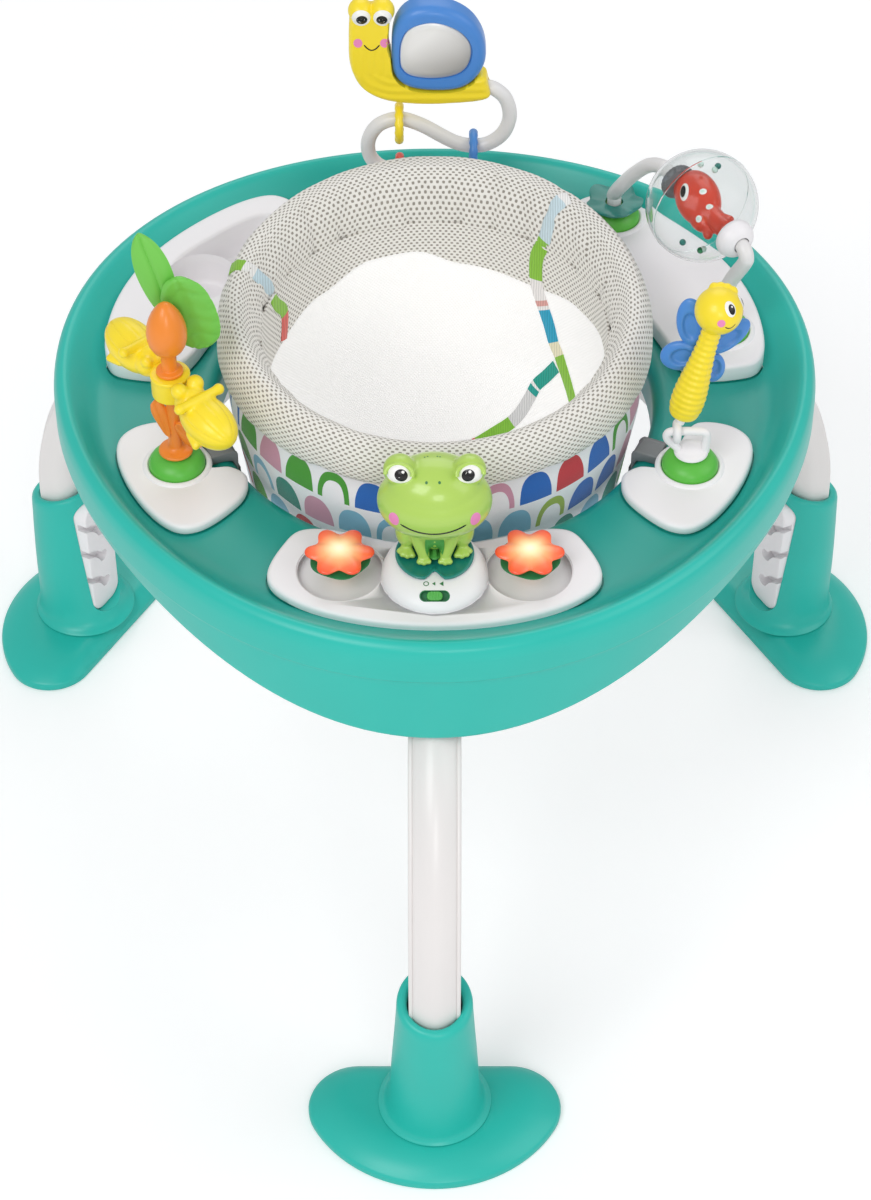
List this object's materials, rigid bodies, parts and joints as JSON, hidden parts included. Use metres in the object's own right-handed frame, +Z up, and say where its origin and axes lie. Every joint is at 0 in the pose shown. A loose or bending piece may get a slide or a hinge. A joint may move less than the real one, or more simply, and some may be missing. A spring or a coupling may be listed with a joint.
{
  "type": "baby activity jumper",
  "caption": "Three-legged play tray with a padded fabric seat on elastic straps, toys on pods around the rim and a snack tray.",
  "frame": {"origin": "on the floor, at the middle of the whole footprint", "axes": "+X to the right of someone facing the front leg from outside, +Y towards the snail at the back, +Z up"},
  "size_m": [0.8272, 0.7616, 0.6712],
  "materials": {
    "teal_moulding": "satin",
    "white_moulding": "satin",
    "white_tube": "smooth",
    "grey_moulding": "matte",
    "green_moulding": "satin",
    "dark_green_moulding": "satin",
    "frog_green_moulding": "satin",
    "orange_moulding": "satin",
    "yellow_moulding": "satin",
    "blue_moulding": "satin",
    "red_moulding": "satin",
    "flower_moulding": "satin",
    "mesh_fabric": "knitted spacer mesh over padding",
    "printed_fabric": "woven, printed with plain round shapes",
    "white_fabric": "woven, with a small dot print",
    "elastic_webbing": "ribbed elastic webbing",
    "clear_moulding": "clear and smooth",
    "mirror_film": "polished film"
  },
  "bodies": {
    "stand": {"tray_top": "teal_moulding", "boot_front": "teal_moulding", "boot_right": "teal_moulding", "boot_left": "teal_moulding", "foot_front": "teal_moulding", "foot_right": "teal_moulding", "foot_left": "teal_moulding", "tray_underframe": "white_moulding", "slot_panel_front": "white_moulding", "slot_panel_right": "white_moulding", "slot_panel_left": "white_moulding", "snack_tray": "white_moulding", "palm_pod": "white_moulding", "dragonfly_pod": "white_moulding", "console_pod": "white_moulding", "fish_pod": "white_moulding", "snail_pod": "white_moulding", "console_base": "white_moulding", "dragonfly_hook": "white_moulding", "leg_front": "white_tube", "leg_right": "white_tube", "leg_left": "white_tube", "fish_tube": "white_tube", "snail_tube": "white_tube", "strap_clip_left": "grey_moulding", "strap_clip_right": "grey_moulding", "strap_clip_rear": "grey_moulding", "sound_module": "grey_moulding", "palm_dome": "green_moulding", "dragonfly_dome": "green_moulding", "fish_dome_rear": "green_moulding", "fish_dome_front": "green_moulding", "palm_leaves": "green_moulding", "lily_pad": "dark_green_moulding", "fish_leaf_disc": "dark_green_moulding", "frog": "frog_green_moulding", "palm_post": "orange_moulding", "strap_left": "elastic_webbing", "strap_right": "elastic_webbing", "strap_rear": "elastic_webbing"},
    "seat": {"seat_hoop": "white_moulding", "seat_collar": "mesh_fabric", "seat_skirt": "printed_fabric", "seat_sling": "white_fabric"},
    "flower_left_button": {"flower_left": "flower_moulding"},
    "flower_right_button": {"flower_right": "flower_moulding"},
    "switch": {"switch_knob": "green_moulding"},
    "palm_turner": {"palm_spinner": "yellow_moulding"},
    "dragonfly": {"dragonfly_link": "white_moulding", "dragonfly_body": "yellow_moulding", "dragonfly_wings": "blue_moulding"},
    "fish_ball": {"ball_shell": "clear_moulding", "ball_hub": "white_moulding", "fish": "red_moulding"},
    "snail": {"snail_body": "yellow_moulding", "snail_shell": "blue_moulding", "snail_mirror": "mirror_film"},
    "red_ring": {"ring_red": "red_moulding"},
    "yellow_ring": {"ring_yellow": "yellow_moulding"},
    "blue_ring": {"ring_blue": "blue_moulding"}
  },
  "joints": [
    {"name": "seat_bounce", "type": "slide", "parent": "stand", "child": "seat", "axis": [0, 0, 1], "range_m": [-0.06, 0.02], "stiffness_N_per_m": 1750, "springref_m": 0.0045, "deforming": ["strap_left", "strap_right", "strap_rear"]},
    {"name": "flower_left_press", "type": "slide", "parent": "stand", "child": "flower_left_button", "axis": [0, 0, 1], "range_m": [-0.003, 0], "stiffness_N_per_m": 400, "springref_m": 0.0015},
    {"name": "flower_right_press", "type": "slide", "parent": "stand", "child": "flower_right_button", "axis": [0, 0, 1], "range_m": [-0.003, 0], "stiffness_N_per_m": 400, "springref_m": 0.0015},
    {"name": "switch_slide", "type": "slide", "parent": "stand", "child": "switch", "axis": [1, 0, 0], "range_m": [-0.0045, 0.0045]},
    {"name": "palm_spin", "type": "hinge", "parent": "stand", "child": "palm_turner", "pos_m": [-0.20291, -0.01797, 0.5555], "axis": [0, 0, 1], "range_deg": [-55, 26]},
    {"name": "dragonfly_swing", "type": "hinge", "parent": "stand", "child": "dragonfly", "pos_m": [0.1888, -0.01975, 0.5026], "axis": [1, 0, 0], "range_deg": [-20, 60]},
    {"name": "ball_spin", "type": "hinge", "parent": "stand", "child": "fish_ball", "pos_m": [0.21578, 0.17356, 0.5735], "axis": [0.4866, -0.8736, 0], "continuous": true},
    {"name": "snail_turn", "type": "hinge", "parent": "stand", "child": "snail", "pos_m": [0.034, 0.31925, 0.586], "axis": [1, 0, 0], "range_deg": [-30, 30]},
    {"name": "red_ring_swing", "type": "hinge", "parent": "stand", "child": "red_ring", "pos_m": [-0.03, 0.31925, 0.5], "axis": [1, 0, 0], "range_deg": [-60, 60]},
    {"name": "yellow_ring_swing", "type": "hinge", "parent": "stand", "child": "yellow_ring", "pos_m": [-0.03, 0.31925, 0.553], "axis": [1, 0, 0], "range_deg": [-60, 60]},
    {"name": "blue_ring_swing", "type": "hinge", "parent": "stand", "child": "blue_ring", "pos_m": [0.033, 0.31925, 0.525], "axis": [1, 0, 0], "range_deg": [-60, 60]}
  ]
}
